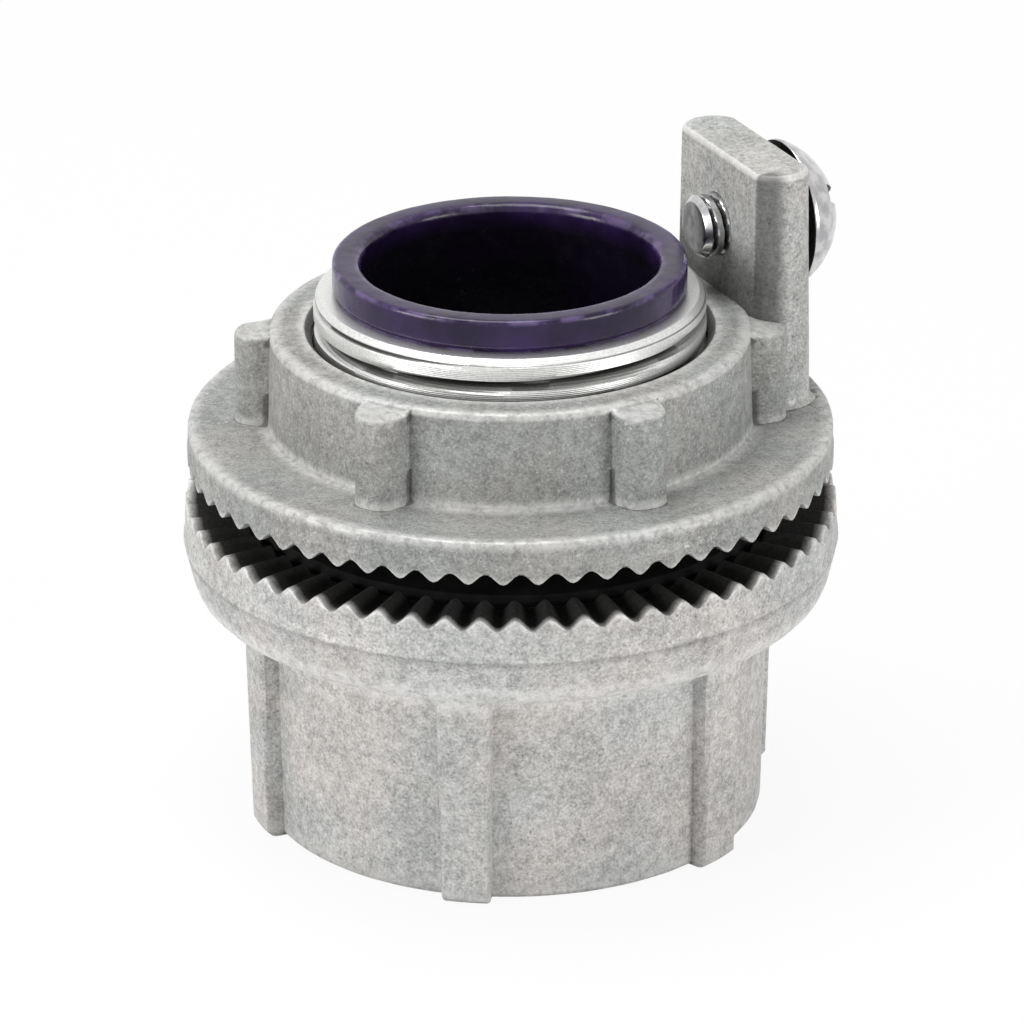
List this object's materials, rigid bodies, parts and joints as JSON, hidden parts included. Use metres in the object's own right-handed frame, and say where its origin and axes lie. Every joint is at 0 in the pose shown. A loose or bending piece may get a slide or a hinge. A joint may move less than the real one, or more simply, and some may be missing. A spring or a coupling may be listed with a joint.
{
  "type": "conduit hub",
  "caption": "Insulated threaded conduit hub with serrated flanges, wrench-lugged lock nut, ground post with slotted screw, sealing ring and plastic throat.",
  "frame": {"origin": "centre of the hub's bottom face, on the axis of the conduit socket", "axes": "+Z along the hub's axis, from the conduit socket to the insulated throat; the front of the picture looks along -Y"},
  "size_m": [0.0564, 0.0564, 0.0563],
  "materials": {
    "casting": "as-cast zinc alloy, mottled grey, matt",
    "nut_casting": "as-cast zinc alloy, grey, matt",
    "throat_plastic": "dark purple moulded plastic, glossy",
    "ring_rubber": "black rubber, matt",
    "screw_plating": "bright zinc plating"
  },
  "bodies": {
    "hub": {"hub_body": "casting", "insulating_throat": "throat_plastic"},
    "ring": {"sealing_ring": "ring_rubber"},
    "nut": {"lock_nut": "nut_casting"},
    "screw": {"ground_screw": "screw_plating"}
  },
  "joints": [
    {"name": "nut_turn", "type": "hinge", "parent": "hub", "child": "ring", "pos_m": [0, 0, 0.0285], "axis": [0, 0, 1], "range_deg": [-430, 1140]},
    {"name": "nut_travel", "type": "slide", "parent": "ring", "child": "nut", "axis": [0, 0, 1], "range_m": [-0.0027, 0.0071]},
    {"name": "ground_screw_travel", "type": "slide", "parent": "nut", "child": "screw", "axis": [0.9063, 0.4226, 0], "range_m": [-0.0004, 0.007]}
  ],
  "couplings": [
    {"joint": "nut_travel", "follows": "nut_turn", "m_per_rad": 0.00035152}
  ]
}
